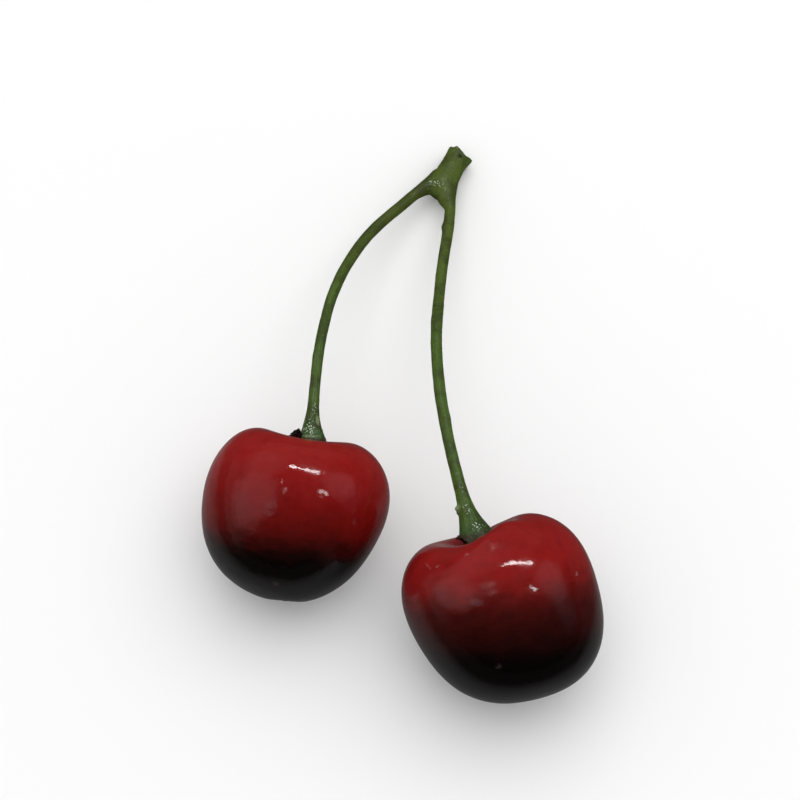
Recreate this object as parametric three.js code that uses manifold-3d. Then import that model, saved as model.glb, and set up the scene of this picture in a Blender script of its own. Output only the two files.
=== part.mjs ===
// Two ripe cherries joined by one forked green stalk, lying on a table. Millimetres, +Z up.
// +X runs across the pair, from the left cherry to the right one. +Y runs from the cherries to the cut end
// of the stalk. The origin is under the middle of the whole pair, at table height.
// The pair rests on three points: the side of each cherry, and the cut stub above the fork. From the cherries
// the two stalks arch down to the fork, which lies just clear of the table.

import * as THREE from 'three';
import { mergeVertices } from 'three/addons/utils/BufferGeometryUtils.js';
import Module from 'manifold-3d';

const wasm = await Module();
wasm.setup();

// ---- Driving sizes, in millimetres and degrees ----

const GAP = 0.3;                    // left between a stalk's foot and the skin that it sits on
const PRESSED = 0.12;               // depth of the flat that each resting point makes on the table

// heart: how far the shoulders swell and the tip narrows. square: how far the corners of the outline fill out.
// skew: how far the two cheeks differ, in waves of growing number from top to bottom. All are shares of size.
// lip: how much lower the rim of the cavity is at the front and back than at the cheeks.
// rise: angle of the stem axis above the table. lean: how far that axis leans to the right.
const CHERRY_LEFT = {
  width: 25.3,
  thickness: 23.3,
  height: 24.7,
  heart: 0.027,
  square: 0.013,
  skew: [0.016, -0.014, -0.016],
  cavity: { depth: 3.1, radius: 5.2, offset: 0.8, lip: 0.67 },
  rise: 18,
  lean: 5,
};

const CHERRY_RIGHT = {
  width: 26.4,
  thickness: 24.1,
  height: 25.8,
  heart: 0.029,
  square: 0.03,
  skew: [-0.028, 0.01, 0.01],
  cavity: { depth: 3.6, radius: 4.6, offset: -1.9, lip: 0.96 },
  rise: 26,
  lean: -13.7,
};

// reach and bearing: from the fork to the foot, in plan, the bearing turning from -Y towards -X.
// shift: how far the foot sits to the right of the middle of its cavity.
// radius: at the foot, just past the foot's flare, and at the fork end.
// join: where the stalk runs out inside the stub, along it from the fork and to the right of its middle.
// bends: share of the way from the foot to the join, then how far the stalk bows to the right and upwards
// from the straight line between them.
const STALK_LEFT = {
  reach: 47.9,
  bearing: 22,
  shift: 1,
  foot: { radius: 1.9, flare: 3.3 },
  radius: { low: 0.7, high: 0.82 },
  join: { along: 2, right: -1.1 },
  bends: [[0.1, -1.7, 1.4], [0.3, -4.6, 2.4], [0.5, -6.2, 1.9], [0.7, -5.6, 0.7], [0.87, -2.8, 0]],
};

const STALK_RIGHT = {
  reach: 59.5,
  bearing: -4.4,
  shift: 0.3,
  foot: { radius: 2.6, flare: 4 },
  radius: { low: 0.82, high: 0.78 },
  join: { along: 2.8, right: 0.4 },
  bends: [[0.1, -1.55, 1.8], [0.3, -3.5, 3.2], [0.5, -3.95, 2.6], [0.7, -2.6, 1.1], [0.87, -0.8, 0.1]],
};

// The thick piece above the fork, which ends where it was cut. droop: its slope down to the table.
const STUB = { length: 6.4, radius: 1.76, bearing: 25.4, droop: 8.5 };
const FORK = { radius: 1.95 };
const JOIN = { radius: 1.15, flare: 2.5 };

// ---- Mesh fineness ----

const FRUIT_SEGMENTS = { around: 44, down: 28 };
const TUBE_SIDES = 12;
const TUBE_STEP = 1.6;              // along a stalk
const BURIED = 1.2;                 // how far an uncut foot runs on below the skin

const radians = THREE.MathUtils.degToRad;

// ---- Solids ----

function solidOf(geometry) {
  const bare = geometry.clone();
  bare.deleteAttribute('normal');
  bare.deleteAttribute('uv');
  const merged = mergeVertices(bare, 1e-4);
  const triVerts = new Uint32Array(merged.index.array);
  const vertProperties = new Float32Array(merged.attributes.position.array);
  return new wasm.Manifold(new wasm.Mesh({ numProp: 3, vertProperties, triVerts }));
}

function geometryOf(solid) {
  const { vertProperties, triVerts } = solid.getMesh();
  const geometry = new THREE.BufferGeometry();
  geometry.setAttribute('position', new THREE.BufferAttribute(vertProperties, 3));
  geometry.setIndex(new THREE.BufferAttribute(triVerts, 1));
  geometry.computeVertexNormals();
  return geometry;
}

// Everything below a height: what the table presses flat.
function tableBelow(height) {
  const side = 300;
  return solidOf(new THREE.BoxGeometry(side, side, side).translate(0, 0, height - side / 2));
}

// ---- Cherries ----

// Surface point of a cherry at its centre, with x across the cheeks, y front to back and z up the stem axis.
function skinPoint(cherry, polar, azimuth) {
  const { heart, square, skew, cavity } = cherry;
  const lopsided = skew.reduce((sum, share, wave) => sum + share * Math.sin((wave + 2) * polar), 0);
  const swell = 1 - heart * Math.cos(3 * polar) - square * Math.cos(4 * polar) + lopsided * Math.cos(azimuth);
  const x = cherry.width / 2 * Math.sin(polar) * Math.cos(azimuth) * swell;
  const y = cherry.thickness / 2 * Math.sin(polar) * Math.sin(azimuth) * swell;
  const z = cherry.height / 2 * Math.cos(polar) * swell;
  const topOnly = 1 / (1 + Math.exp(-12 * Math.cos(polar)));
  const dip = cavity.depth * Math.exp(-((x - cavity.offset) ** 2 + y ** 2) / cavity.radius ** 2);
  const lip = cavity.lip * (Math.sin(2 * polar) * Math.sin(azimuth)) ** 2;
  return new THREE.Vector3(x, y, z - topOnly * (dip + lip));
}

// Turns a cherry from upright to how it lies: its stem axis leans, then swings down towards +Y.
function lying(cherry) {
  const lean = new THREE.Matrix4().makeRotationY(radians(cherry.lean));
  return new THREE.Matrix4().makeRotationX(radians(cherry.rise - 90)).multiply(lean);
}

// The lying skin around its centre, as a closed mesh, grown outwards by a margin.
function skin(cherry, margin = 0) {
  const ball = new THREE.SphereGeometry(1, FRUIT_SEGMENTS.around, FRUIT_SEGMENTS.down).rotateX(Math.PI / 2);
  ball.deleteAttribute('normal');
  ball.deleteAttribute('uv');
  const mesh = mergeVertices(ball, 1e-4);
  const positions = mesh.attributes.position;
  const direction = new THREE.Vector3();
  for (let i = 0; i < positions.count; i += 1) {
    direction.fromBufferAttribute(positions, i);
    const point = skinPoint(cherry, Math.acos(THREE.MathUtils.clamp(direction.z, -1, 1)),
      Math.atan2(direction.y, direction.x));
    positions.setXYZ(i, point.x, point.y, point.z);
  }
  mesh.computeVertexNormals();
  const outwards = new THREE.Vector3();
  for (let i = 0; i < positions.count; i += 1) {
    direction.fromBufferAttribute(positions, i);
    outwards.fromBufferAttribute(mesh.attributes.normal, i);
    direction.addScaledVector(outwards, margin);
    positions.setXYZ(i, direction.x, direction.y, direction.z);
  }
  return mesh.applyMatrix4(lying(cherry));
}

// Where a cherry's centre and its stalk's foot are: the foot is set by the stalk, the height by the table.
function place(cherry, stalk) {
  const sideways = cherry.cavity.offset + stalk.shift;
  const polar = Math.asin(Math.abs(sideways) / (cherry.width / 2));
  const seat = skinPoint(cherry, polar, sideways < 0 ? Math.PI : 0).applyMatrix4(lying(cherry));
  const resting = skin(cherry);
  resting.computeBoundingBox();
  const bearing = radians(stalk.bearing);
  const centre = new THREE.Vector3(
    -stalk.reach * Math.sin(bearing) - seat.x,
    -stalk.reach * Math.cos(bearing) - seat.y,
    -resting.boundingBox.min.z - PRESSED,
  );
  const axis = new THREE.Vector3(0, 0, 1).transformDirection(lying(cherry));
  return { centre, axis, foot: seat.add(centre) };
}

function cherryGeometry(cherry, centre) {
  return geometryOf(solidOf(skin(cherry)).subtract(tableBelow(-centre.z)));
}

// ---- Stalk ----

// A round closed tube along a path, whose radius follows a function of the distance from its first end.
function taperedTube(path, radiusAt) {
  const length = path.getLength();
  const steps = Math.ceil(length / TUBE_STEP);
  const thin = 0.25;
  const circle = new THREE.Shape().absarc(0, 0, thin, 0, 2 * Math.PI);
  const tube = new THREE.ExtrudeGeometry(circle, {
    steps,
    curveSegments: TUBE_SIDES / 2,
    bevelEnabled: false,
    extrudePath: path,
  });
  tube.deleteAttribute('normal');
  tube.deleteAttribute('uv');
  const merged = mergeVertices(tube, 1e-4);
  const rings = path.getSpacedPoints(steps);
  const positions = merged.attributes.position;
  const point = new THREE.Vector3();
  for (let i = 0; i < positions.count; i += 1) {
    point.fromBufferAttribute(positions, i);
    const distances = rings.map((ring) => ring.distanceTo(point));
    const nearest = distances.indexOf(Math.min(...distances));
    const widened = radiusAt(length * nearest / steps) / thin;
    point.sub(rings[nearest]).multiplyScalar(widened).add(rings[nearest]);
    positions.setXYZ(i, point.x, point.y, point.z);
  }
  return solidOf(merged);
}

// The cut stub lies along the table and is a little higher at the fork.
const droop = radians(STUB.droop);
const stubAxis = new THREE.Vector3(
  Math.cos(droop) * Math.sin(radians(STUB.bearing)),
  Math.cos(droop) * Math.cos(radians(STUB.bearing)),
  -Math.sin(droop),
);
const acrossStub = new THREE.Vector3(stubAxis.y, -stubAxis.x, 0).normalize();
const stubEndHeight = STUB.radius * Math.cos(droop) - PRESSED;
const fork = new THREE.Vector3(0, 0, stubEndHeight + STUB.length * Math.sin(droop));

// One stalk, from below the skin under its foot to its join with the stub.
function stalkSolid(stalk, { axis, foot }) {
  const join = fork.clone()
    .addScaledVector(stubAxis, stalk.join.along)
    .addScaledVector(acrossStub, stalk.join.right);
  const chord = join.clone().sub(foot);
  const right = new THREE.Vector3(chord.y, -chord.x, 0).normalize();
  const bends = stalk.bends.map(([share, sideways, upwards]) => foot.clone()
    .addScaledVector(chord, share)
    .addScaledVector(right, sideways)
    .add(new THREE.Vector3(0, 0, upwards)));
  const buried = foot.clone().addScaledVector(axis, -BURIED);
  const path = new THREE.CatmullRomCurve3([buried, foot, ...bends, join], false, 'centripetal');
  const length = path.getLength();
  const flare = (distance, reach) => Math.exp(-((Math.max(distance, 0) / reach) ** 1.6));
  return taperedTube(path, (distance) => {
    const { low, high } = stalk.radius;
    const plain = low + (high - low) * distance / length;
    const atFoot = (stalk.foot.radius - low) * flare(distance - BURIED, stalk.foot.flare);
    const atJoin = (JOIN.radius - high) * flare(length - distance, JOIN.flare);
    return plain + atFoot + atJoin;
  });
}

function stubSolid() {
  const path = new THREE.LineCurve3(fork, fork.clone().addScaledVector(stubAxis, STUB.length));
  return taperedTube(path, (distance) => (
    FORK.radius + (STUB.radius - FORK.radius) * distance / STUB.length
  ));
}

function forkKnot() {
  return solidOf(new THREE.SphereGeometry(FORK.radius, 20, 14).translate(fork.x, fork.y, fork.z));
}

// ---- The pair ----

const BRANCHES = [
  { name: 'cherry_left', cherry: CHERRY_LEFT, stalk: STALK_LEFT },
  { name: 'cherry_right', cherry: CHERRY_RIGHT, stalk: STALK_RIGHT },
];

const cherrySkin = new THREE.MeshStandardMaterial({ color: 0x861c1b, roughness: 0.15, metalness: 0 });
const stalkSkin = new THREE.MeshStandardMaterial({ color: 0x4f6b30, roughness: 0.45, metalness: 0 });

const pair = new THREE.Group();
let stalkBody = stubSolid().add(forkKnot());

for (const { name, cherry, stalk } of BRANCHES) {
  const placed = place(cherry, stalk);
  const mesh = new THREE.Mesh(cherryGeometry(cherry, placed.centre), cherrySkin.clone());
  mesh.name = name;
  mesh.position.copy(placed.centre);
  pair.add(mesh);
  const clearance = solidOf(skin(cherry, GAP).translate(...placed.centre));
  stalkBody = stalkBody.add(stalkSolid(stalk, placed).subtract(clearance));
}

const forkedStalk = new THREE.Mesh(geometryOf(stalkBody.subtract(tableBelow(0))), stalkSkin);
forkedStalk.name = 'forked_stalk';
pair.add(forkedStalk);

const box = new THREE.Box3().setFromObject(pair);
const middle = box.getCenter(new THREE.Vector3());
pair.position.set(-middle.x, -middle.y, -box.min.z);

const cherries = new THREE.Group();
cherries.add(pair);

export default cherries;
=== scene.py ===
"""Two ripe cherries on one forked green stalk, lying on a pale table."""

import math

import bpy
import numpy as np
from mathutils import Matrix, Vector, noise

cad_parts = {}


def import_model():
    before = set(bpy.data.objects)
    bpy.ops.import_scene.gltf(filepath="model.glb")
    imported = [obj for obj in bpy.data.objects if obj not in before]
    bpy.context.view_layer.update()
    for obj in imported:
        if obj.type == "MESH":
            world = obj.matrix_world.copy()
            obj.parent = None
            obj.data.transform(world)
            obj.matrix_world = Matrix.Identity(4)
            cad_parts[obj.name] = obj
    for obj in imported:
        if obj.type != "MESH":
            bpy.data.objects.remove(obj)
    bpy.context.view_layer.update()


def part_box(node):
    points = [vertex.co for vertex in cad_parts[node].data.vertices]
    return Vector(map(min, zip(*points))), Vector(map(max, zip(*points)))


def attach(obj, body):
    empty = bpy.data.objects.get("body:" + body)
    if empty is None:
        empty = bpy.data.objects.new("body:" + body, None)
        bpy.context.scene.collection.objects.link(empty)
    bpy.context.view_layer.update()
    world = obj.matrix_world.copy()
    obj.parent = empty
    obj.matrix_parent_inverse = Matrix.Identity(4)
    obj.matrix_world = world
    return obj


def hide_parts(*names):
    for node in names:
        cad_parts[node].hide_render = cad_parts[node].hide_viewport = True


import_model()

MM = 0.001

# ---- Sizes, in millimetres and degrees, as in the CAD source ----

# Depth of the flat that each resting point makes on the table.
PRESSED = 0.12

# heart: how far the shoulders swell and the tip narrows. square: how far the corners of the outline fill out.
# skew: how far the two cheeks differ, in waves of growing number from top to bottom. All are shares of size.
# lip: how much lower the rim of the cavity is at the front and back than at the cheeks.
# rise: angle of the stem axis above the table. lean: how far that axis leans to the right.
CHERRIES = {
    "cherry_left": {
        "width": 25.3, "thickness": 23.3, "height": 24.7,
        "heart": 0.027, "square": 0.013, "skew": (0.016, -0.014, -0.016),
        "cavity": {"depth": 3.1, "radius": 5.2, "offset": 0.8, "lip": 0.67},
        "rise": 18, "lean": 5,
    },
    "cherry_right": {
        "width": 26.4, "thickness": 24.1, "height": 25.8,
        "heart": 0.029, "square": 0.03, "skew": (-0.028, 0.01, 0.01),
        "cavity": {"depth": 3.6, "radius": 4.6, "offset": -1.9, "lip": 0.96},
        "rise": 26, "lean": -13.7,
    },
}

# reach and bearing: from the fork to the foot, in plan, the bearing turning from -Y towards -X.
# shift: how far the foot sits to the right of the middle of its cavity.
# radius: just past the foot's flare, and at the fork end.
# join: where the stalk runs out inside the stub, along it from the fork and to the right of its middle.
# bends: share of the way from the foot to the join, then how far the stalk bows to the right and upwards.
STALKS = {
    "cherry_left": {
        "reach": 47.9, "bearing": 22, "shift": 1,
        "foot": {"radius": 1.9, "flare": 3.3}, "radius": (0.7, 0.82),
        "join": (2, -1.1),
        "bends": (
            (0.1, -1.7, 1.4), (0.3, -4.6, 2.4), (0.5, -6.2, 1.9),
            (0.7, -5.6, 0.7), (0.87, -2.8, 0),
        ),
    },
    "cherry_right": {
        "reach": 59.5, "bearing": -4.4, "shift": 0.3,
        "foot": {"radius": 2.6, "flare": 4}, "radius": (0.82, 0.78),
        "join": (2.8, 0.4),
        "bends": (
            (0.1, -1.55, 1.8), (0.3, -3.5, 3.2), (0.5, -3.95, 2.6),
            (0.7, -2.6, 1.1), (0.87, -0.8, 0.1),
        ),
    },
}

# droop: the stub's slope down to the table.
STUB = {"length": 6.4, "radius": 1.76, "bearing": 25.4, "droop": 8.5}
FORK_RADIUS = 1.95
JOIN = {"radius": 1.15, "flare": 2.5}

# ---- Small tools ----


def unit(vector):
    return vector / np.linalg.norm(vector)


def smoothstep(low, high, value):
    t = np.clip((value - low) / (high - low), 0, 1)
    return t * t * (3 - 2 * t)


def bell(value, width):
    return np.exp(-(value / width) ** 2)


def turned_by(angle, degrees):
    """The angle measured from a direction in degrees, from -pi to pi."""
    return (angle - math.radians(degrees) + math.pi) % (2 * math.pi) - math.pi


def noise_at(points, scale, seed, octaves=1):
    """Smooth noise at each point, about -1 to 1, whose lumps are about scale across."""
    shift = Vector((seed * 7.3, seed * 3.1, seed * 5.7))
    values = np.empty(len(points))
    for i, point in enumerate(points):
        place = Vector(point) / scale + shift
        values[i] = noise.fractal(place, 1.0, 2.0, octaves) if octaves > 1 else noise.noise(place)
    return values


def mesh_object(name, points, faces, measure=MM):
    """A smooth-shaded mesh object at the origin. measure: how many metres the points' unit is."""
    mesh = bpy.data.meshes.new(name)
    mesh.from_pydata((np.asarray(points) * measure).tolist(), [], faces)
    mesh.update()
    mesh.shade_smooth()
    obj = bpy.data.objects.new(name, mesh)
    bpy.context.scene.collection.objects.link(obj)
    return obj


def per_vertex(obj, key):
    flat = np.empty(len(obj.data.vertices) * 3)
    obj.data.vertices.foreach_get(key, flat)
    return flat.reshape(-1, 3)


def points_of(obj):
    return per_vertex(obj, "co") / MM


def move_points(obj, points):
    obj.data.vertices.foreach_set("co", (points * MM).ravel())
    obj.data.update()


def store(obj, name, values):
    """Keeps a number or a vector for each vertex, for the materials to read."""
    kind, key = ("FLOAT_VECTOR", "vector") if values.ndim == 2 else ("FLOAT", "value")
    kept = obj.data.attributes.new(name, kind, "POINT").data
    kept.foreach_set(key, values.astype(np.float32).ravel())


# ---- Layout: where the CAD put everything ----


def skin_points(cherry, directions):
    """Surface points of a cherry in its own axes: x across the cheeks, y front to back, z up the stem."""
    polar = np.arccos(np.clip(directions[:, 2], -1, 1))
    azimuth = np.arctan2(directions[:, 1], directions[:, 0])
    cavity = cherry["cavity"]
    lopsided = sum(share * np.sin((wave + 2) * polar) for wave, share in enumerate(cherry["skew"]))
    swell = (1 - cherry["heart"] * np.cos(3 * polar) - cherry["square"] * np.cos(4 * polar)
             + lopsided * np.cos(azimuth))
    x = cherry["width"] / 2 * np.sin(polar) * np.cos(azimuth) * swell
    y = cherry["thickness"] / 2 * np.sin(polar) * np.sin(azimuth) * swell
    z = cherry["height"] / 2 * np.cos(polar) * swell
    top_only = 1 / (1 + np.exp(-12 * np.cos(polar)))
    dip = cavity["depth"] * np.exp(-((x - cavity["offset"]) ** 2 + y ** 2) / cavity["radius"] ** 2)
    lip = cavity["lip"] * (np.sin(2 * polar) * np.sin(azimuth)) ** 2
    return np.column_stack([x, y, z - top_only * (dip + lip)])


def lying(cherry):
    """Turns a cherry from upright to how it lies: its stem axis leans, then swings down towards +Y."""
    swing = Matrix.Rotation(math.radians(cherry["rise"] - 90), 3, "X")
    return np.array(swing @ Matrix.Rotation(math.radians(cherry["lean"]), 3, "Y"))


def ball(cuts):
    """Directions and quads of a cube rounded to a ball, with even faces."""
    steps = np.tan(np.linspace(-math.pi / 4, math.pi / 4, cuts + 1))
    index, directions, faces = {}, [], []
    for axis in range(3):
        for side in (-1, 1):
            grid = []
            for a in range(cuts + 1):
                row = []
                for b in range(cuts + 1):
                    corner = [0.0] * 3
                    corner[axis] = side
                    corner[(axis + 1) % 3] = steps[a]
                    corner[(axis + 2) % 3] = steps[b]
                    key = tuple(round(c, 6) for c in corner)
                    if key not in index:
                        index[key] = len(directions)
                        directions.append(corner)
                    row.append(index[key])
                grid.append(row)
            for a in range(cuts):
                for b in range(cuts):
                    quad = [grid[a][b], grid[a + 1][b], grid[a + 1][b + 1], grid[a][b + 1]]
                    faces.append(quad if side > 0 else quad[::-1])
    directions = np.array(directions)
    return directions / np.linalg.norm(directions, axis=1)[:, None], faces


BALL_DIRECTIONS, BALL_FACES = ball(100)


def lie_down(name):
    """A cherry's turned points about its centre, and its centre and its stalk's foot from the fork."""
    cherry, stalk = CHERRIES[name], STALKS[name]
    turn = lying(cherry)
    turned = skin_points(cherry, BALL_DIRECTIONS) @ turn.T
    sideways = cherry["cavity"]["offset"] + stalk["shift"]
    polar = math.asin(abs(sideways) / (cherry["width"] / 2))
    direction = np.array([[math.copysign(math.sin(polar), sideways), 0, math.cos(polar)]])
    seat = (skin_points(cherry, direction) @ turn.T)[0]
    bearing = math.radians(stalk["bearing"])
    centre = np.array([
        -stalk["reach"] * math.sin(bearing) - seat[0],
        -stalk["reach"] * math.cos(bearing) - seat[1],
        -turned[:, 2].min() - PRESSED,
    ])
    return {"turned": turned, "centre": centre, "foot": centre + seat, "axis": turn[:, 2]}


LYING = {name: lie_down(name) for name in CHERRIES}


def frame_offset():
    """From the fork, which the stalks' sizes are measured from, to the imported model's origin, in plan."""
    offsets = []
    for name, placed in LYING.items():
        low, high = (np.array(corner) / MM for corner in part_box(name))
        points = placed["turned"] + placed["centre"]
        offsets.append((low + high) / 2 - (points.min(axis=0) + points.max(axis=0)) / 2)
    offset = np.mean(offsets, axis=0)
    offset[2] = 0
    return offset


OFFSET = frame_offset()
DROOP = math.radians(STUB["droop"])
BEARING = math.radians(STUB["bearing"])
STUB_AXIS = np.array([
    math.cos(DROOP) * math.sin(BEARING),
    math.cos(DROOP) * math.cos(BEARING),
    -math.sin(DROOP),
])
ACROSS_STUB = unit(np.array([STUB_AXIS[1], -STUB_AXIS[0], 0]))
FORK_HEIGHT = STUB["radius"] * math.cos(DROOP) - PRESSED + STUB["length"] * math.sin(DROOP)
FORK = OFFSET + np.array([0, 0, FORK_HEIGHT])

# ---- Nodes for materials ----


class Shader:
    """The nodes of a material or the world, with a few shorthands."""

    def __init__(self, owner):
        owner.use_nodes = True
        self.owner = owner
        self.tree = owner.node_tree
        self.surface = self.tree.nodes.get("Principled BSDF")

    def set(self, **sockets):
        for name, value in sockets.items():
            self.surface.inputs[name.replace("_", " ").title().replace("Ior", "IOR")].default_value = value

    def node(self, kind, **settings):
        made = self.tree.nodes.new(kind)
        for name, value in settings.items():
            setattr(made, name, value)
        return made

    def link(self, source, target):
        self.tree.links.new(source, self.surface.inputs[target])

    def feed(self, socket, value):
        if isinstance(value, bpy.types.NodeSocket):
            self.tree.links.new(value, socket)
        else:
            socket.default_value = value

    def attribute(self, name, output="Fac"):
        return self.node("ShaderNodeAttribute", attribute_name=name).outputs[output]

    def place(self):
        return self.node("ShaderNodeTexCoord").outputs["Object"]

    def math(self, operation, a, b=0.0, c=0.0, clamp=False):
        made = self.node("ShaderNodeMath", operation=operation, use_clamp=clamp)
        for socket, value in zip(made.inputs, (a, b, c)):
            self.feed(socket, value)
        return made.outputs[0]

    def vector(self, operation, a, b=None, output="Vector"):
        made = self.node("ShaderNodeVectorMath", operation=operation)
        self.feed(made.inputs[0], a)
        if b is not None:
            self.feed(made.inputs[1], b)
        return made.outputs[output]

    def dot(self, vector, direction):
        return self.vector("DOT_PRODUCT", vector, direction, "Value")

    def distance(self, vector, middle):
        return self.vector("DISTANCE", vector, middle, "Value")

    def noise(self, vector, scale, detail=2.0, roughness=0.5):
        made = self.node("ShaderNodeTexNoise")
        self.feed(made.inputs["Vector"], vector)
        made.inputs["Scale"].default_value = scale
        made.inputs["Detail"].default_value = detail
        made.inputs["Roughness"].default_value = roughness
        return made.outputs["Fac"]

    def spots(self, vector, scale):
        made = self.node("ShaderNodeTexVoronoi")
        self.feed(made.inputs["Vector"], vector)
        made.inputs["Scale"].default_value = scale
        return made.outputs["Distance"]

    def span(self, value, low, high, to_low=0.0, to_high=1.0):
        made = self.node("ShaderNodeMapRange", interpolation_type="SMOOTHSTEP")
        for socket, number in zip(made.inputs, (value, low, high, to_low, to_high)):
            self.feed(socket, number)
        return made.outputs["Result"]

    def ramp(self, value, stops):
        made = self.node("ShaderNodeValToRGB")
        made.color_ramp.interpolation = "LINEAR"
        elements = made.color_ramp.elements
        while len(elements) < len(stops):
            elements.new(1.0)
        for element, (position, colour) in zip(elements, stops):
            element.position = position
            element.color = (*colour, 1)
        self.feed(made.inputs["Fac"], value)
        return made.outputs["Color"]

    def mix(self, share, a, b, blend="MIX"):
        made = self.node("ShaderNodeMix", data_type="RGBA", blend_type=blend)
        colour_sockets = [s for s in made.inputs if s.type == "RGBA"]
        self.feed(made.inputs[0], share)
        for socket, value in zip(colour_sockets, (a, b)):
            self.feed(socket, (*value, 1) if isinstance(value, tuple) else value)
        return next(s for s in made.outputs if s.type == "RGBA")

    def coat(self, colour, share, strength, tone):
        """The colour with a tone over it, as far as share times strength."""
        return self.mix(self.math("MULTIPLY", share, strength), colour, tone)

    def bump(self, layers):
        """layers: (height, strength, depth in metres), the coarsest first."""
        normal = None
        for height, strength, depth in layers:
            made = self.node("ShaderNodeBump")
            made.inputs["Strength"].default_value = strength
            made.inputs["Distance"].default_value = depth
            self.feed(made.inputs["Height"], height)
            if normal is not None:
                self.feed(made.inputs["Normal"], normal)
            normal = made.outputs["Normal"]
        self.link(normal, "Normal")


def material(name):
    return Shader(bpy.data.materials.new(name))


# ---- Cherries ----

# seed: for the mesh's unevenness. pattern: which part of the noise the material shows.
# tilt: how much further down the red reaches on the right cheek.
# ripple: how deep the skin's finest unevenness is, in millimetres. dimpled: strength of the coarse bump.
# smears: less glossy places: the middle and size in half fruits, and how much rougher they are.
# The small pale places, which are pale specks where faint and painted glints where strong (0.25 and more):
# the middle and size in half fruits, and how strongly they show.
# marks: hollows (and, where the depth is negative, swellings): angle from the stalk and around it in radians,
# then radius and depth in millimetres.
# ripening: the skin's colour at heights from the tip (-1) to the stalk (1).
SKINS = {
    "cherry_left": {
        "seed": 11, "pattern": 3.0, "tilt": 0.02, "ripple": 0.014, "dimpled": 0.22,
        "smears": (),
        "scuffs_and_glints": (
            ((-0.09, -0.56, -0.83), 0.040, 0.045),
            ((-0.64, -0.38, -0.69), 0.034, 0.045),
        ),
        "marks": (
            (1.10, -1.90, 3.0, 0.05),
            (2.95, -1.15, 5.0, -0.14),
            (1.40, -0.20, 5.0, -0.14),
        ),
        "ripening": (
            (-1.00, (0.0020, 0.0010, 0.0010)),
            (-0.65, (0.0016, 0.0008, 0.0007)),
            (-0.56, (0.0024, 0.0010, 0.0008)),
            (-0.48, (0.0090, 0.0016, 0.0012)),
            (-0.36, (0.0350, 0.0026, 0.0020)),
            (-0.25, (0.0760, 0.0034, 0.0026)),
            (-0.13, (0.1100, 0.0040, 0.0032)),
            (0.00, (0.1400, 0.0046, 0.0040)),
            (0.15, (0.1780, 0.0052, 0.0050)),
            (0.35, (0.2150, 0.0080, 0.0076)),
            (0.60, (0.2500, 0.0105, 0.0095)),
            (1.00, (0.2250, 0.0090, 0.0065)),
        ),
    },
    "cherry_right": {
        "seed": 23, "pattern": 8.0, "tilt": 0.15, "ripple": 0.006, "dimpled": 0.10,
        "smears": (((-0.13, -0.94, 0.34), 0.16, 0.11),),
        "scuffs_and_glints": (
            ((-0.20, -0.83, -0.47), 0.036, 0.045),
            ((-0.25, -0.66, 0.70), 0.026, 0.30),
            ((-0.56, -0.59, 0.65), 0.024, 0.25),
            ((0.77, -0.56, 0.22), 0.028, 0.25),
        ),
        "marks": (
            (0.47, -1.15, 2.4, -0.90),
            (0.58, -1.62, 1.9, -0.56),
            (0.74, -2.35, 2.2, 0.40),
            (1.02, -1.72, 4.3, 0.38),
            (1.04, -1.02, 2.8, -0.06),
            (0.80, -1.47, 2.2, 0.10),
            (2.10, -0.47, 5.5, -0.28),
            (2.50, -0.54, 5.5, -0.28),
            (2.71, -2.30, 5.0, -0.10),
        ),
        "ripening": (
            (-1.00, (0.0020, 0.0010, 0.0010)),
            (-0.60, (0.0012, 0.0006, 0.0006)),
            (-0.48, (0.0018, 0.0008, 0.0008)),
            (-0.38, (0.0038, 0.0012, 0.0010)),
            (-0.22, (0.0160, 0.0022, 0.0018)),
            (-0.08, (0.0300, 0.0032, 0.0024)),
            (0.04, (0.0450, 0.0038, 0.0030)),
            (0.13, (0.0700, 0.0046, 0.0040)),
            (0.22, (0.0980, 0.0056, 0.0048)),
            (0.30, (0.1520, 0.0072, 0.0064)),
            (0.45, (0.2050, 0.0088, 0.0084)),
            (0.60, (0.2250, 0.0090, 0.0085)),
            (1.00, (0.2150, 0.0085, 0.0065)),
        ),
    },
}

# How far two kinds of noise move the line between red and black, in half fruits.
BLOTCHED = 0.30
BRUSHED = 0.20
MOTTLE_TONE = (0.62, 0.42, 0.42)
LENTICEL_TONE = (0.62, 0.06, 0.05)
# The tone of the pale specks and the painted glints.
SCUFF_AND_GLINT_TONE = (0.36, 0.25, 0.24)
# The near black of the painted shade in the cavity round the stalk's foot.
SOCKET_SHADE_TONE = (0.016, 0.006, 0.003)
# How much the outlines of the pale specks, painted glints and smears wander, in half fruits.
SCUFF_AND_GLINT_RAGGED = 0.12
SMEAR_RAGGED = 0.3


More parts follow.
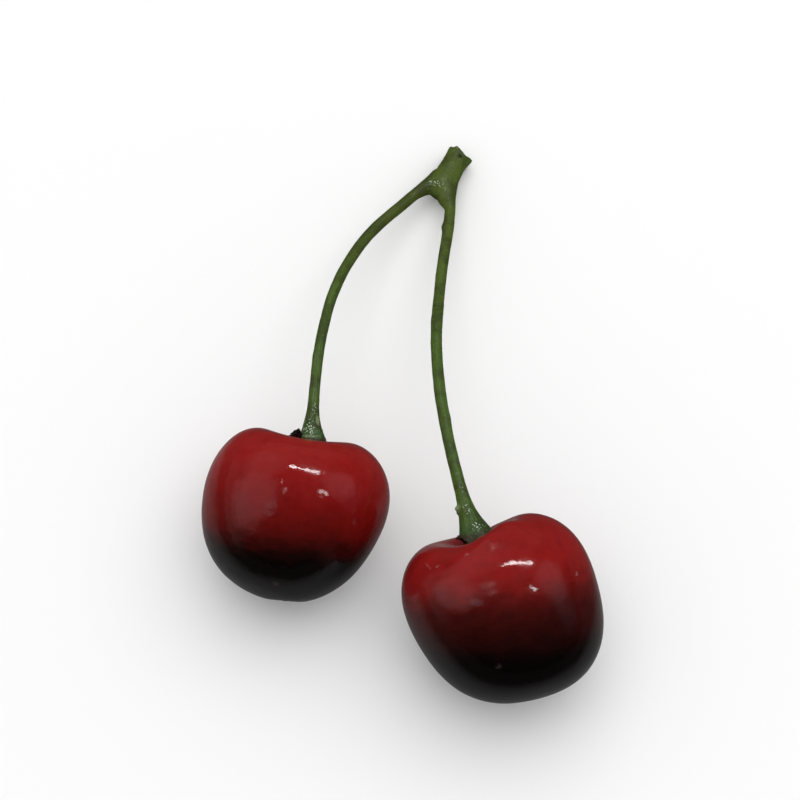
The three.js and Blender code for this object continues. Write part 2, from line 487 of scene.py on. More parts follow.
def cherry_material(name):
    """Glossy skin that ripens from red at the stalk to near black at the tip."""
    skin = SKINS[name]
    shader = material(name + "_skin")
    shader.set(roughness=0.09, ior=1.46)
    grown = shader.attribute("grown", "Vector")
    place = shader.vector("ADD", grown, (skin["pattern"], skin["pattern"] * 0.7, 0))

    height = shader.dot(grown, (skin["tilt"], 0, 1))
    blotches = shader.noise(place, 1.8, detail=3)
    drawn_out = shader.vector("MULTIPLY", place, (1, 1, 3.0))
    brushed = shader.noise(drawn_out, 4.5, detail=5, roughness=0.65)
    for wander, reach in ((blotches, BLOTCHED), (brushed, BRUSHED)):
        height = shader.math("MULTIPLY_ADD", shader.math("SUBTRACT", wander, 0.5), reach, height)
    ripe = shader.math("MULTIPLY_ADD", height, 0.5, 0.5, clamp=True)
    colour = shader.ramp(ripe, [((z + 1) / 2, tone) for z, tone in skin["ripening"]])
    mottle = shader.noise(place, 7.0, detail=5, roughness=0.6)
    colour = shader.mix(shader.span(mottle, 0.40, 0.72, 0.0, 0.36), colour, MOTTLE_TONE, "MULTIPLY")
    lenticels = shader.spots(place, 30.0)
    colour = shader.mix(shader.span(lenticels, 0.02, 0.10, 0.10, 0.0), colour, LENTICEL_TONE)
    ragged = shader.noise(place, 55.0, detail=2)
    # Pale specks, and where strong, painted glints.
    for middle, size, strength in skin["scuffs_and_glints"]:
        edge = shader.math("MULTIPLY_ADD", ragged, SCUFF_AND_GLINT_RAGGED, shader.distance(grown, middle))
        scuffed_and_glinting = shader.span(edge, size + 0.03, size + 0.06, strength, 0.0)
        colour = shader.mix(scuffed_and_glinting, colour, SCUFF_AND_GLINT_TONE)
    # The skin round the stalk's foot is darkened: painted shade in the cavity under the foot.
    socket = shader.span(shader.attribute("socket"), 0.25, 0.8)
    shader.link(shader.coat(colour, socket, 0.92, SOCKET_SHADE_TONE), "Base Color")

    wear = shader.noise(place, 3.0, detail=3)
    gloss = shader.span(wear, 0.35, 0.7, 0.07, 0.14)
    for middle, size, rougher in skin["smears"]:
        edge = shader.math("MULTIPLY_ADD", wear, SMEAR_RAGGED, shader.distance(grown, middle))
        smeared = shader.span(edge, size, size * 2.0, 1.0, 0.0)
        gloss = shader.math("MULTIPLY_ADD", smeared, rougher, gloss)
    shader.link(gloss, "Roughness")
    shader.bump([
        (shader.noise(place, 5.0, detail=2), skin["dimpled"], 0.0004),
        (shader.noise(place, 22.0, detail=2), 0.12, 0.0001),
        (shader.span(lenticels, 0.0, 0.08, 1.0, 0.0), 0.06, 0.00005),
    ])
    return shader.owner


# In millimetres. LUMP: the skin's broad unevenness. SOCKET: how wide the painted shade round the foot is.
LUMP = {"height": 0.09, "scale": 8.0}
RIPPLE_SCALE = 2.6
SUTURE = {"half_width": 0.9, "depth": 0.18, "fades_in": 4}
TIP_DIMPLE = {"radius": 1.8, "depth": 0.35}
TIP_SCAR = {"radius": 0.45, "height": 0.14}
SOCKET = 2.2


def grow_cherry(name):
    cherry, placed, skin = CHERRIES[name], LYING[name], SKINS[name]
    upright = skin_points(cherry, BALL_DIRECTIONS)
    obj = mesh_object(name + "_skin", placed["turned"] + placed["centre"] + OFFSET, BALL_FACES)
    points, normals = points_of(obj), per_vertex(obj, "normal")
    swell = LUMP["height"] * noise_at(upright, LUMP["scale"], skin["seed"])
    swell += skin["ripple"] * noise_at(upright, RIPPLE_SCALE, skin["seed"] + 1)
    groove = bell(upright[:, 0], SUTURE["half_width"]) * smoothstep(0, SUTURE["fades_in"], upright[:, 1])
    swell -= SUTURE["depth"] * groove
    from_axis = np.hypot(upright[:, 0], upright[:, 1])
    below = upright[:, 2] < 0
    swell -= below * TIP_DIMPLE["depth"] * bell(from_axis, TIP_DIMPLE["radius"])
    swell += below * TIP_SCAR["height"] * bell(from_axis, TIP_SCAR["radius"])
    for polar, azimuth, radius, depth in skin["marks"]:
        across = math.sin(polar)
        middle = np.array([across * math.cos(azimuth), across * math.sin(azimuth), math.cos(polar)])
        away = np.linalg.norm(BALL_DIRECTIONS - middle, axis=1) * cherry["width"] / 2
        swell -= depth * bell(away, radius)
    points = points + normals * swell[:, None]
    points[:, 2] = np.maximum(points[:, 2], 0)
    move_points(obj, points)
    half = np.array([cherry["width"], cherry["thickness"], cherry["height"]]) / 2
    store(obj, "grown", upright / half)
    seat = upright[:, :2] - [cherry["cavity"]["offset"] + STALKS[name]["shift"], 0]
    # Where the painted shade round the foot lies.
    store(obj, "socket", (upright[:, 2] > 0) * np.exp(-(seat ** 2).sum(axis=1) / SOCKET ** 2))
    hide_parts(name)
    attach(obj, "root")
    return obj


# ---- Stalk ----

# The stalk's parts, and the fineness of their paths and outlines. Lengths are in millimetres.
LEFT, RIGHT, STUB_PART = 0, 1, 2
STEP = 0.3
SIDES = 32
# How far the stalk runs on below the skin.
BURIED = 0.5
KNOT_RADIUS = 1.85
# How the left and right stalk widen to one side towards the crotch: by how much, and between which distances
# from the join.
WEBS = (
    {"radius": 0.26, "start": 5.6, "end": 2.6, "side": 1},
    {"radius": 0.66, "start": 6.6, "end": 3.7, "side": -1},
)
# How many steps back from the join give the direction that a stalk arrives in.
ARRIVING = 15
VOXEL = 0.108
# The smoothing that takes the voxels away, and the stronger one near the fork: rounds and strength.
SMOOTHING = {"rounds": 6, "in": 0.5, "out": -0.52}
FORK_SMOOTHING = {"rounds": 40, "in": 0.6, "full": 2.0, "none": 4.2}
# How many vertices are measured at once, which keeps the memory small.
CHUNK = 4000


def between(p, q, start, end, t):
    return (p * (end - t) + q * (t - start)) / (end - start)


def centripetal(points, per_span=24):
    """A smooth curve through the points, with knots spaced by the square root of their distance."""
    points = [2 * points[0] - points[1], *points, 2 * points[-1] - points[-2]]
    curve = []
    for four in zip(points, points[1:], points[2:], points[3:]):
        pairs = list(zip(four, four[1:]))
        knots = np.cumsum([0.0, *(math.sqrt(np.linalg.norm(q - p)) for p, q in pairs)])
        for t in np.linspace(knots[1], knots[2], per_span, endpoint=False):
            a, b, c = (between(p, q, knots[i], knots[i + 1], t) for i, (p, q) in enumerate(pairs))
            first = between(a, b, knots[0], knots[2], t)
            second = between(b, c, knots[1], knots[3], t)
            curve.append(between(first, second, knots[1], knots[2], t))
    curve.append(points[-2])
    return np.array(curve)


def evenly(curve, step):
    """The curve again, with points a step apart, and how far along it each one is."""
    lengths = np.concatenate([[0], np.cumsum(np.linalg.norm(np.diff(curve, axis=0), axis=1))])
    count = max(2, round(lengths[-1] / step) + 1)
    wanted = np.linspace(0, lengths[-1], count)
    return np.column_stack([np.interp(wanted, lengths, curve[:, i]) for i in range(3)]), wanted


def tangents_of(path):
    tangents = np.gradient(path, axis=0)
    return tangents / np.linalg.norm(tangents, axis=1)[:, None]


def tube(path, radii):
    """Points and faces of a closed round tube along a path."""
    tangents = tangents_of(path)
    side = unit(np.cross(tangents[0], [0, 0, 1]))
    points, faces = [], []
    angles = np.linspace(0, 2 * math.pi, SIDES, endpoint=False)
    for centre, tangent, radius in zip(path, tangents, radii):
        side = unit(side - tangent * side.dot(tangent))
        up = np.cross(tangent, side)
        points.extend(centre + radius * (math.cos(a) * side + math.sin(a) * up) for a in angles)
    for ring in range(len(path) - 1):
        low, high = ring * SIDES, (ring + 1) * SIDES
        for i in range(SIDES):
            j = (i + 1) % SIDES
            faces.append([low + j, low + i, high + i, high + j])
    faces.append(list(range(SIDES)))
    last = (len(path) - 1) * SIDES
    faces.append([last + i for i in reversed(range(SIDES))])
    return points, faces


def flare(distance, reach):
    return np.exp(-((np.maximum(distance, 0) / reach) ** 1.6))


def branch(name):
    """The path and radii of one stalk, from just below the skin to its join with the stub."""
    stalk, placed = STALKS[name], LYING[name]
    foot = placed["foot"] + OFFSET
    join = FORK + STUB_AXIS * stalk["join"][0] + ACROSS_STUB * stalk["join"][1]
    chord = join - foot
    right = unit(np.array([chord[1], -chord[0], 0]))
    bends = [foot + chord * share + right * sideways + np.array([0, 0, up])
             for share, sideways, up in stalk["bends"]]
    path, distance = evenly(centripetal([foot - placed["axis"] * BURIED, foot, *bends, join]), STEP)
    low, high = stalk["radius"]
    length = distance[-1]
    radii = low + (high - low) * distance / length
    radii += (stalk["foot"]["radius"] - low) * flare(distance - BURIED, stalk["foot"]["flare"])
    radii += (JOIN["radius"] - high) * flare(length - distance, JOIN["flare"])
    return path, radii, distance


def stub():
    path, distance = evenly(np.array([FORK, FORK + STUB_AXIS * STUB["length"]]), STEP)
    radii = FORK_RADIUS + (STUB["radius"] - FORK_RADIUS) * distance / STUB["length"]
    return path, radii, distance


def widen(path, radii, distance, web):
    """Widens a stalk towards the crotch of the fork, and leaves its outer side where it is."""
    extra = web["radius"] * (1 - smoothstep(web["end"], web["start"], distance[-1] - distance))
    run = path[-1] - path[-1 - ARRIVING]
    right = unit(np.array([run[1], -run[0], 0]))
    return path + web["side"] * right * extra[:, None], radii + extra


def grow_stalk():
    parts = [branch("cherry_left"), branch("cherry_right"), stub()]
    shapes = [tube(*widen(*part, web)) for part, web in zip(parts, WEBS)]
    path, radii, _ = parts[STUB_PART]
    shapes += [tube(path, radii), (BALL_DIRECTIONS * KNOT_RADIUS + FORK, BALL_FACES)]
    points, faces = [], []
    for more_points, more_faces in shapes:
        faces.extend([[i + len(points) for i in face] for face in more_faces])
        points.extend(more_points)
    # Remeshed with a millimetre as Blender's unit, because a voxel can't be much smaller than 0.1 of that.
    obj = mesh_object("forked_stalk_skin", points, faces, measure=1)
    remesh = obj.modifiers.new("join", "REMESH")
    remesh.mode = "VOXEL"
    remesh.voxel_size = VOXEL
    remesh.use_smooth_shade = True
    separate = obj.data
    evaluated = obj.evaluated_get(bpy.context.evaluated_depsgraph_get())
    joined = bpy.data.meshes.new_from_object(evaluated)
    obj.modifiers.clear()
    obj.data = joined
    bpy.data.meshes.remove(separate)
    joined.name = "forked_stalk_skin"
    points = settle(obj, per_vertex(obj, "co"))
    move_points(obj, points)
    carve_stalk(obj, describe_stalk(points, parts))
    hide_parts("forked_stalk")
    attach(obj, "root")
    return obj


def settle(obj, points):
    """Smooths away the voxels everywhere, and rounds the inner corners of the fork."""
    ends = np.empty(len(obj.data.edges) * 2, dtype=np.int64)
    obj.data.edges.foreach_get("vertices", ends)
    a, b = ends.reshape(-1, 2).T
    size = len(points)
    count = np.bincount(a, minlength=size) + np.bincount(b, minlength=size)

    def pull(strength):
        total = np.zeros_like(points)
        for axis in range(3):
            total[:, axis] = np.bincount(a, points[b, axis], size) + np.bincount(b, points[a, axis], size)
        return strength * (total / count[:, None] - points)

    for _ in range(SMOOTHING["rounds"]):
        points = points + pull(SMOOTHING["in"])
        points = points + pull(SMOOTHING["out"])
    from_fork = np.linalg.norm(points - FORK, axis=1)
    near = 1 - smoothstep(FORK_SMOOTHING["full"], FORK_SMOOTHING["none"], from_fork)
    for _ in range(FORK_SMOOTHING["rounds"]):
        points = points + pull(FORK_SMOOTHING["in"]) * near[:, None]
    return points


def describe_stalk(points, parts):
    """For each vertex: its part, how far along and at what angle round it is, and the ways out and along."""
    size = len(points)
    best = np.full(size, 1e9)
    told = {
        "part": np.zeros(size, dtype=int), "along": np.zeros(size), "angle": np.zeros(size),
        "out": np.zeros((size, 3)), "run": np.zeros((size, 3)),
    }
    for number, (path, radii, distance) in enumerate(parts):
        tangents = tangents_of(path)
        for start in range(0, size, CHUNK):
            chunk = slice(start, start + CHUNK)
            gaps = np.linalg.norm(points[chunk, None] - path[None], axis=2)
            nearest = gaps.argmin(axis=1)
            off = gaps[np.arange(len(nearest)), nearest] / radii[nearest]
            tangent = tangents[nearest]
            out = points[chunk] - path[nearest]
            ahead = (out * tangent).sum(axis=1)
            out = out - tangent * ahead[:, None]
            side = np.cross(tangent, [0, 0, 1])
            side /= np.linalg.norm(side, axis=1)[:, None]
            up = np.cross(side, tangent)
            angle = np.arctan2((out * up).sum(axis=1), (out * side).sum(axis=1))
            better = off < best[chunk]
            where = np.arange(start, min(start + CHUNK, size))[better]
            best[where] = off[better]
            told["part"][where] = number
            told["along"][where] = (distance[nearest] + ahead)[better]
            told["angle"][where] = angle[better]
            told["out"][where] = (out / np.maximum(np.linalg.norm(out, axis=1), 1e-6)[:, None])[better]
            told["run"][where] = tangent[better]
    return told


# Small growths on the stalk: part, distance along it and angle round it in degrees (0 right, 90 up),
# then half length, half width and height in millimetres. The scale is the first of them.
SCALE = (LEFT, 3.9, 52, 0.85, 0.34, 0.26)
GROWTHS = (
    SCALE,
    (LEFT, 14.0, 150, 1.0, 0.5, 0.07),
    (LEFT, 31.0, 60, 1.3, 0.6, 0.06),
    (RIGHT, 6.3, 165, 0.38, 0.30, 0.48),
    (RIGHT, 5.7, 170, 0.25, 0.25, 0.25),
    (RIGHT, 20.0, 20, 1.2, 0.5, 0.08),
    (RIGHT, 37.0, 160, 1.0, 0.5, 0.07),
    (RIGHT, 55.0, 175, 0.7, 0.5, 0.22),
    (STUB_PART, 1.2, 120, 0.8, 0.5, 0.10),
    (STUB_PART, 2.6, 165, 0.9, 0.6, 0.10),
)
# A growth taller than this is made pale, partly as a painted highlight.
HIGHLIGHT_FROM = 0.3

# Where painted glints show on the stalk, as tiny pale grains: part, distance along it and angle round it in
# degrees, then half length and half width in millimetres, and how dense they are.
PAINTED_GLINT_SPOTS = (
    (LEFT, 2.6, 108, 1.7, 1.3, 1.0),
    (LEFT, 5.6, 70, 1.1, 0.5, 0.7),
    (RIGHT, 2.9, 75, 0.8, 0.7, 1.0),
    (RIGHT, 5.7, 92, 0.9, 0.45, 0.9),
    (RIGHT, 9.0, 80, 1.3, 0.4, 0.6),
    (STUB_PART, -0.6, 112, 0.8, 0.7, 0.9),
)

# How many painted glints there are outside those spots, everywhere and at the feet.
THIN_PAINTED_GLINTS = {"everywhere": 0.10, "feet": 0.25}
# The radius that the growths and the painted glints are laid out on, in millimetres, and what the feet add to
# it.
GROWTH_RADIUS = 0.8
PAINTED_GLINT_RADIUS = {"everywhere": 0.9, "feet": 0.9}

# Coordinates that follow the fibres: their step for each millimetre along, and for each part.
FIBRE_STEP = 0.05
PART_STEP = 9.0
# The stalk's unevenness: height and scale in millimetres, and seed.
LUMPS = ((0.035, 2.4, 5), (0.018, 0.9, 6))
FIBRES = (0.030, 0.45, 7)
FOOT_CRUMBS = (0.030, 0.45, 8)
# The ridge round the left foot: how far up it is, its half width and its height.
RIM = {"along": 1.55, "half_width": 0.14, "height": 0.06}
# The groove round the scale, darkened with painted shade, at this many half sizes from its middle.
LINE = {"at": 1.25, "half_width": 0.22, "depth": 0.06}
# How much further each foot spreads on its right side: part, height, reach up the stalk, angle in radians.
SPREADS = ((LEFT, 0.28, 2.2, 0), (RIGHT, 0.42, 3.2, 0.2))
# How high up the left side of the right foot has come away from the skin.
LIFTED = 2.5
# What "reach" reads at the fork, which the material takes for the far end of the stalks.
STUB_REACH = 70


def spot(told, radius, number, place, turn, half_length, half_width):
    """How near each vertex is to the middle of a spot on the stalk: 1 there, and 0 well away from it."""
    around = turned_by(told["angle"], turn) * radius
    near = np.exp(-((told["along"] - place) / half_length) ** 2 - (around / half_width) ** 2)
    return near * (told["part"] == number)


def painted_glints_on(told, foot):
    total = THIN_PAINTED_GLINTS["everywhere"] + THIN_PAINTED_GLINTS["feet"] * foot
    radius = PAINTED_GLINT_RADIUS["everywhere"] + PAINTED_GLINT_RADIUS["feet"] * foot
    for *where, density in PAINTED_GLINT_SPOTS:
        total = np.maximum(total, density * spot(told, radius, *where))
    return total


def carve_stalk(obj, told):
    """Adds ridges, lumps, the feet's rims and the cut end, and keeps what the material needs."""
    points = points_of(obj)
    part, along, angle = told["part"], told["along"], told["angle"]
    left, right = part == LEFT, part == RIGHT
    fibre = np.column_stack([np.cos(angle), np.sin(angle), along * FIBRE_STEP + part * PART_STEP])
    foot = np.where(part == STUB_PART, 0, flare(along - BURIED, 3.0))
    raised = sum(height * noise_at(points, scale, seed) for height, scale, seed in LUMPS)
    height, scale, seed = FIBRES
    raised += height * noise_at(fibre * np.array([1, 1, 1.2]), scale, seed)
    height, scale, seed = FOOT_CRUMBS
    raised += height * foot * noise_at(points, scale, seed, octaves=2)
    # Pale places: the scale's own tone, and painted highlights on the tallest growth and on the rim's top.
    pale_and_highlight = np.zeros(len(points))
    for *where, height in GROWTHS:
        near = spot(told, GROWTH_RADIUS, *where)
        raised += height * near
        if height > HIGHLIGHT_FROM:
            pale_and_highlight = np.maximum(pale_and_highlight, near)

    rim = left * bell(along - RIM["along"] - 0.12 * np.sin(3 * angle), RIM["half_width"])
    raised += RIM["height"] * rim
    # Only the top of the rim is lightened: a painted highlight.
    pale_and_highlight = np.maximum(pale_and_highlight, 0.6 * rim * smoothstep(0.5, 0.95, np.sin(angle - 0.15)))

    _, place, turn, half_length, half_width, _ = SCALE
    ahead = (along - place) / half_length
    aside = (angle - math.radians(turn)) * 1.1 / half_width
    size = np.hypot(ahead, aside)
    line = left * bell(size - LINE["at"], LINE["half_width"]) * smoothstep(-0.5, 0.6, aside - 0.5 * ahead)
    raised -= LINE["depth"] * line
    pale_and_highlight = np.maximum(pale_and_highlight, 0.45 * left * (1 - smoothstep(0.6, 1.1, size)))

    # Painted shade where the feet meet the skin (the left foot below its rim, the lower edge of the right
    # foot) and in the groove round the scale.
    painted_shade = left * (1 - smoothstep(RIM["along"] - 0.5, RIM["along"] - 0.05, along))
    painted_shade = np.maximum(painted_shade, 0.85 * line)
    painted_shade = np.maximum(painted_shade, right * (1 - smoothstep(1.1, 2.7, along + 0.3 * noise_at(points, 0.8, 9))))
    for number, height, reach, turn in SPREADS:
        facing = np.maximum(np.cos(angle - turn), 0)
        raised += height * (part == number) * flare(along - BURIED, reach) * facing

    points = points + told["out"] * raised[:, None]
    loose = right * smoothstep(0.20, 0.85, -np.cos(angle))
    points = points + told["run"] * (loose * np.maximum(LIFTED - along, 0))[:, None]
    points, cut = cut_end(points)
    points[:, 2] = np.maximum(points[:, 2], 0)
    move_points(obj, points)
    store(obj, "reach", np.where(part == STUB_PART, STUB_REACH + along, along))
    store(obj, "fibre", fibre)
    store(obj, "painted_shade", np.maximum(painted_shade, cut))
    store(obj, "pale_and_highlight", pale_and_highlight)
    store(obj, "foot", foot)
    # Where the painted glints go.
    store(obj, "painted_glints", painted_glints_on(told, foot))
    store(obj, "olive", left * smoothstep(20, 38, along))


# The cut end's outline and the slant of its face: direction round it in degrees (0 right, 90 up), half width
# in radians, and how far it stands out, as a share of the spread or in millimetres.
CORNERS = ((0, 0.35, 1), (155, 0.25, 0.35), (108, 0.25, 0.3), (250, 0.5, 0.6))
SLANTS = ((108, 0.22, 0.22), (150, 0.25, 0.25), (52, 0.5, -0.42))
# Lengths in millimetres, measured back from the cut. clear: how far from the axis all this reaches.
END = {"length": 2.4, "clear": 2.6, "spread": 0.02, "corner": 0.15, "dish": 0.9}
WAIST = {"back": 2.6, "half_length": 1.3, "depth": 0.07}
PIT = {"back": 1.05, "half_length": 0.22, "turn": 72, "half_width": 0.16, "depth": 0.22}


def cut_end(points):
    """Flares and dishes the stub's cut end, and tells where it is darkened with painted shade: its pit and
    the hollow middle of its face.
    """
    up = np.cross(ACROSS_STUB, STUB_AXIS)
    offset = points - FORK
    ahead = offset @ STUB_AXIS
    radial = offset - ahead[:, None] * STUB_AXIS
    distance = np.linalg.norm(radial, axis=1)
    turn = np.arctan2(radial @ up, radial @ ACROSS_STUB)
    clear = distance < END["clear"]

    def around(degrees, width):
        return bell(turned_by(turn, degrees), width)

    def outline(bumps):
        return sum(height * around(degrees, width) for degrees, width, height in bumps)

    length = STUB["length"]
    end = smoothstep(length - END["length"], length, ahead) * clear
    spread = end ** 2 * (END["spread"] + END["corner"] * outline(CORNERS))
    waist = WAIST["depth"] * around(0, 1.0) * bell(ahead - length + WAIST["back"], WAIST["half_length"])
    points = points + radial * (spread - waist * clear)[:, None]
    inner = np.clip(1 - distance / STUB["radius"], 0, 1)
    dish = (ahead > length - 0.2) * clear * END["dish"] * smoothstep(0.05, 0.8, inner)
    along = end ** 2 * outline(SLANTS) * smoothstep(0.2, 0.9, distance / STUB["radius"]) - dish
    points = points + STUB_AXIS * along[:, None]
    pit = bell(ahead - length + PIT["back"], PIT["half_length"]) * clear
    pit = pit * around(PIT["turn"], PIT["half_width"])
    points = points - radial * (PIT["depth"] * pit)[:, None]
    # The hollow middle of the end face, darkened like the pit: painted shade.
    face = (ahead > length - 0.12) * clear * smoothstep(0.1, 0.5, inner)
    return points, np.clip(pit + 0.6 * face, 0, 1)


FORKWARD_TONE = (0.072, 0.100, 0.011)
OLIVE_TONE = (0.052, 0.068, 0.006)
FOOT_TONE = (0.022, 0.068, 0.030)
PATCH_TONE = (0.030, 0.044, 0.007)
SPECKLE_TONE = (0.17, 0.25, 0.08)
# The colour of the painted glints.
PAINTED_GLINT_TONE = (0.56, 0.70, 0.54)
# The colour of the pale places, partly painted highlights.
PALE_AND_HIGHLIGHT_TONE = (0.30, 0.36, 0.19)
# The colour of the painted shade.
PAINTED_SHADE_TONE = (0.030, 0.017, 0.006)


def stalk_material():
    """Green stalk with fibres along it, patches, speckles, painted glints of tiny pale grains, painted
    highlights and painted shade.
    """
    shader = material("green_stalk")
    shader.set(roughness=0.42, ior=1.34)
    fibre = shader.attribute("fibre", "Vector")
    reach = shader.attribute("reach")
    foot = shader.attribute("foot")
    where = shader.place()
    drawn_out = shader.vector("MULTIPLY", fibre, (3.0, 3.0, 1.5))
    streaks = shader.noise(drawn_out, 2.2, detail=5, roughness=0.6)
    patches = shader.noise(where, 420.0, detail=3)
    speckle = shader.noise(where, 1900.0, detail=3, roughness=0.7)
    grains = shader.spots(where, 3700.0)
    near_fork = shader.span(reach, 26.0, 58.0, 0.0, 1.0)
    colour = shader.ramp(streaks, [
        (0.25, (0.026, 0.062, 0.005)),
        (0.50, (0.052, 0.100, 0.012)),
        (0.75, (0.100, 0.160, 0.030)),
    ])
    colour = shader.coat(colour, near_fork, 0.65, FORKWARD_TONE)
    colour = shader.coat(colour, shader.attribute("olive"), 0.7, OLIVE_TONE)
    colour = shader.coat(colour, foot, 0.8, FOOT_TONE)
    colour = shader.mix(shader.span(patches, 0.42, 0.66, 0.0, 0.7), colour, PATCH_TONE)
    colour = shader.mix(shader.span(speckle, 0.58, 0.8, 0.0, 0.55), colour, SPECKLE_TONE)
    # Tiny pale grains, denser where the stalk's attribute says: painted glints.
    glint_share = shader.attribute("painted_glints")
    grain_size = shader.math("MULTIPLY_ADD", glint_share, 0.42, 0.12)
    grain = shader.span(grains, 0.12, grain_size, 1.0, 0.0)
    painted_glints = shader.math("MULTIPLY", grain, shader.span(speckle, 0.28, 0.44))
    density = shader.math("MULTIPLY_ADD", glint_share, 1.2, 0.0, clamp=True)
    colour = shader.coat(colour, painted_glints, density, PAINTED_GLINT_TONE)
    # Pale places: the scale's own tone, and painted highlights on the nub and the rim's top.
    colour = shader.coat(colour, shader.attribute("pale_and_highlight"), 0.8, PALE_AND_HIGHLIGHT_TONE)
    # Painted shade at the feet, round the scale and in the cut end.
    colour = shader.coat(colour, shader.attribute("painted_shade"), 0.85, PAINTED_SHADE_TONE)
    shader.link(colour, "Base Color")
    shader.link(shader.span(speckle, 0.35, 0.7, 0.50, 0.16), "Roughness")
    shader.bump([
        (streaks, 0.5, 0.00012),
        (speckle, 0.7, 0.00009),
        (grains, 0.6, 0.00006),
    ])
    return shader.owner


# The scrap's half sizes before it is roughened, and its middle measured from the left foot, in millimetres.
FLECK = {"half": np.array([0.58, 0.46, 1.0]), "from_foot": np.array([-1.88, 1.36, 1.36])}
# The way that it narrows, and its roughness: height and scale in shares of its size, and seed.
FLECK_PEAK = unit(np.array([0.2, 1.0, 0.45]))
FLECK_PEAKS = ((0.45, 0.5, 34), (0.50, 0.2, 32))


def grow_fleck():
    """A dried, dark scrap of the flower's collar, caught at the left foot: wide below, with ragged peaks."""
    foot = LYING["cherry_left"]["foot"] + OFFSET
    directions, faces = ball(28)
    rise = directions @ FLECK_PEAK
    ragged = 1 + sum(height * noise_at(directions, scale, seed) for height, scale, seed in FLECK_PEAKS)
    points = directions * ragged[:, None] * FLECK["half"]
    points[:, 0] = points[:, 0] * (1.15 - 0.55 * rise) + 0.18 * rise
    points += foot + FLECK["from_foot"]
    obj = mesh_object("dried_fleck", points, faces)
    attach(obj, "root")
    return obj


def fleck_material():
    shader = material("dried_fleck")
    crumbs = shader.noise(shader.place(), 2500.0, detail=4, roughness=0.7)
    colour = shader.ramp(crumbs, [
        (0.3, (0.004, 0.002, 0.002)),
        (0.6, (0.020, 0.006, 0.008)),
        (0.8, (0.08, 0.02, 0.02)),
    ])
    shader.link(colour, "Base Color")
    shader.link(shader.span(crumbs, 0.3, 0.7, 0.5, 0.8), "Roughness")
    shader.bump([(crumbs, 0.7, 0.0001)])
    return shader.owner


# ---- Studio ----

# The camera's angle above the table in degrees, its distance and target and its lens in millimetres.
ELEVATION = 68
DISTANCE = 420
TARGET = (-0.06, 1.17, 8.0)
LENS = 136.6
SENSOR = 36

# How light the floor is, and how light it looks mirrored in the skins, near the cherries and further off.
PALE = 0.89
MIRRORED = 0.20
MIRRORED_FAR = 0.02
FLOOR_HALF = 8.0
# Where the mirrored floor darkens: distances in metres from the cherries' middles, squeezed along x, and from
# the origin along a direction ahead of the pair. left: the share of its lightness that is left beyond that.
NEAR_CHERRY = {"full": 0.020, "none": 0.054, "squeeze": (0.55, 1.0, 1.0)}
IN_FRONT = {"toward": (0.4, 1, 0), "from": -0.012, "to": 0.004, "left": 0.12}

# What the glossy skins mirror of the room: compass direction (0 ahead, 90 right), height in degrees,
# how far it spreads at full strength and in all, in degrees, and its brightness and tint.
ROOM = (
    (-95, 41, 13, 33, 0.95, (1.0, 0.50, 0.52)),
    (-85, -5, 20, 50, 0.22, (1.0, 0.75, 0.75)),
    (-128, 56, 2, 8, 0.6, (1.0, 0.85, 0.90)),
    (-40, 38, 8, 28, 0.50, (1.0, 0.55, 0.56)),
    (80, 36, 8, 26, 0.60, (1.0, 0.62, 0.68)),
    (97, 20, 4, 18, 0.12, (0.9, 0.8, 1.0)),
    (0, 14, 10, 40, 0.16, (1.0, 0.7, 0.7)),
    (-68, 73, 1.0, 2.2, 9.0, (1.0, 0.85, 0.85)),
    (-118, 77, 0.9, 2.0, 7.0, (1.0, 0.85, 0.85)),
)
# The brightness of the rest of the room in the skins, of the even light, and of the background, which is as
# light as the floor.
ROOM_SHADE = 0.01
AMBIENT = 0.80
HAZE = AMBIENT * PALE

# Lights: position and size in metres, how bright each looks, and whether it shows only in reflections
# (or else only lights the surfaces).
LIGHTS = {
    "overhead": ((0.15, 0.30, 1.2), (1.6, 1.6), 1.0, False),
    "strip": ((0.15, 0.48, 0.86), (0.58, 0.064), 26, True),
    "glint": ((0.53, -0.17, 0.83), (0.05, 0.17), 14, True),
}
LIT_POINT = (0, -0.01, 0.01)


def aim(obj, position, target):
    obj.location = position
    obj.rotation_euler = (Vector(target) - Vector(position)).to_track_quat("-Z", "Y").to_euler()


def camera():
    tilt = math.radians(ELEVATION)
    target = Vector(TARGET) * MM
    back = Vector((0, -math.cos(tilt), math.sin(tilt)))
    data = bpy.data.cameras.new("camera")
    data.lens = LENS
    data.sensor_width = SENSOR
    data.clip_start = 0.01
    data.clip_end = 20
    obj = bpy.data.objects.new("camera", data)
    bpy.context.scene.collection.objects.link(obj)
    aim(obj, target + back * DISTANCE * MM, target)
    bpy.context.scene.camera = obj


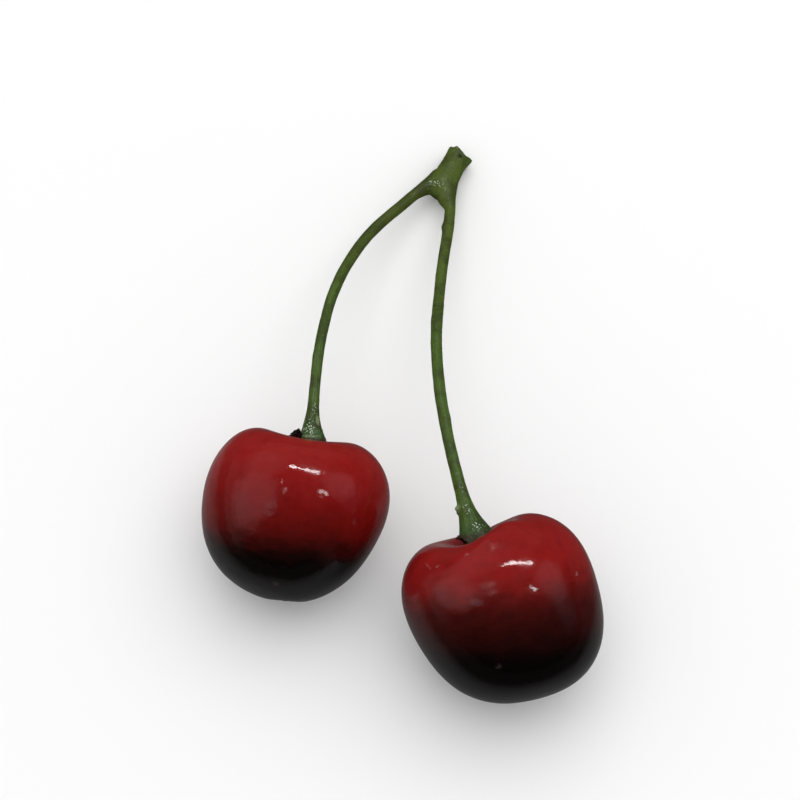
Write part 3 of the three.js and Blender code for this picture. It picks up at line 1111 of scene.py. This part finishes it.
def floor():
    corners = [(x * FLOOR_HALF, y * FLOOR_HALF, 0) for x, y in ((-1, -1), (1, -1), (1, 1), (-1, 1))]
    obj = mesh_object("floor", corners, [[0, 1, 2, 3]], measure=1)
    shader = material("floor")
    shader.set(roughness=0.9)
    rays = shader.node("ShaderNodeLightPath")
    where = shader.place()
    gaps = []
    for name in CHERRIES:
        low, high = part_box(name)
        away = shader.vector("SUBTRACT", where, ((low[0] + high[0]) / 2, (low[1] + high[1]) / 2, 0))
        squeezed = shader.vector("MULTIPLY", away, NEAR_CHERRY["squeeze"])
        gaps.append(shader.vector("LENGTH", squeezed, output="Value"))
    near = shader.span(shader.math("MINIMUM", *gaps), NEAR_CHERRY["full"], NEAR_CHERRY["none"], 1.0, 0.0)
    along = shader.dot(where, IN_FRONT["toward"])
    ahead = shader.span(along, IN_FRONT["from"], IN_FRONT["to"], 1.0, IN_FRONT["left"])
    share = shader.math("MULTIPLY", near, ahead)
    dim = shader.math("MULTIPLY_ADD", share, MIRRORED - MIRRORED_FAR, MIRRORED_FAR)
    shader.link(shader.mix(rays.outputs["Is Glossy Ray"], (PALE,) * 3, dim), "Base Color")
    obj.data.materials.append(shader.owner)


def area_light(name, position, size, radiance, mirrored):
    width, height = size
    data = bpy.data.lights.new(name, "AREA")
    data.shape = "RECTANGLE"
    data.size, data.size_y = width, height
    data.energy = radiance * math.pi * width * height
    obj = bpy.data.objects.new(name, data)
    bpy.context.scene.collection.objects.link(obj)
    aim(obj, position, LIT_POINT)
    obj.visible_glossy = mirrored
    obj.visible_diffuse = not mirrored


def toward(compass, height):
    a, h = math.radians(compass), math.radians(height)
    return (math.sin(a) * math.cos(h), math.cos(a) * math.cos(h), math.sin(h))


def world():
    """Pale to the camera, even light for everything, and a dim room with soft windows in the reflections."""
    made = bpy.data.worlds.new("studio")
    bpy.context.scene.world = made
    shader = Shader(made)
    background = shader.tree.nodes["Background"]
    direction = shader.node("ShaderNodeTexCoord").outputs["Generated"]
    mirrored = (ROOM_SHADE,) * 3
    for compass, height, full, spread, strength, tint in ROOM:
        near = shader.dot(direction, toward(compass, height))
        edges = math.cos(math.radians(spread)), math.cos(math.radians(full))
        window = shader.node("ShaderNodeVectorMath", operation="SCALE")
        window.inputs[0].default_value = tint
        shader.feed(window.inputs["Scale"], shader.span(near, *edges, 0.0, strength))
        mirrored = shader.vector("ADD", mirrored, window.outputs["Vector"])
    rays = shader.node("ShaderNodeLightPath")
    plain = shader.mix(rays.outputs["Is Camera Ray"], (AMBIENT,) * 3, (HAZE,) * 3)
    colour = shader.mix(rays.outputs["Is Glossy Ray"], plain, mirrored)
    shader.feed(background.inputs["Color"], colour)
    background.inputs["Strength"].default_value = 1


camera()
floor()
world()
for name, settings in LIGHTS.items():
    area_light(name, *settings)

for name in CHERRIES:
    grow_cherry(name).data.materials.append(cherry_material(name))
grow_stalk().data.materials.append(stalk_material())
grow_fleck().data.materials.append(fleck_material())

bpy.context.scene.view_settings.view_transform = "Standard"
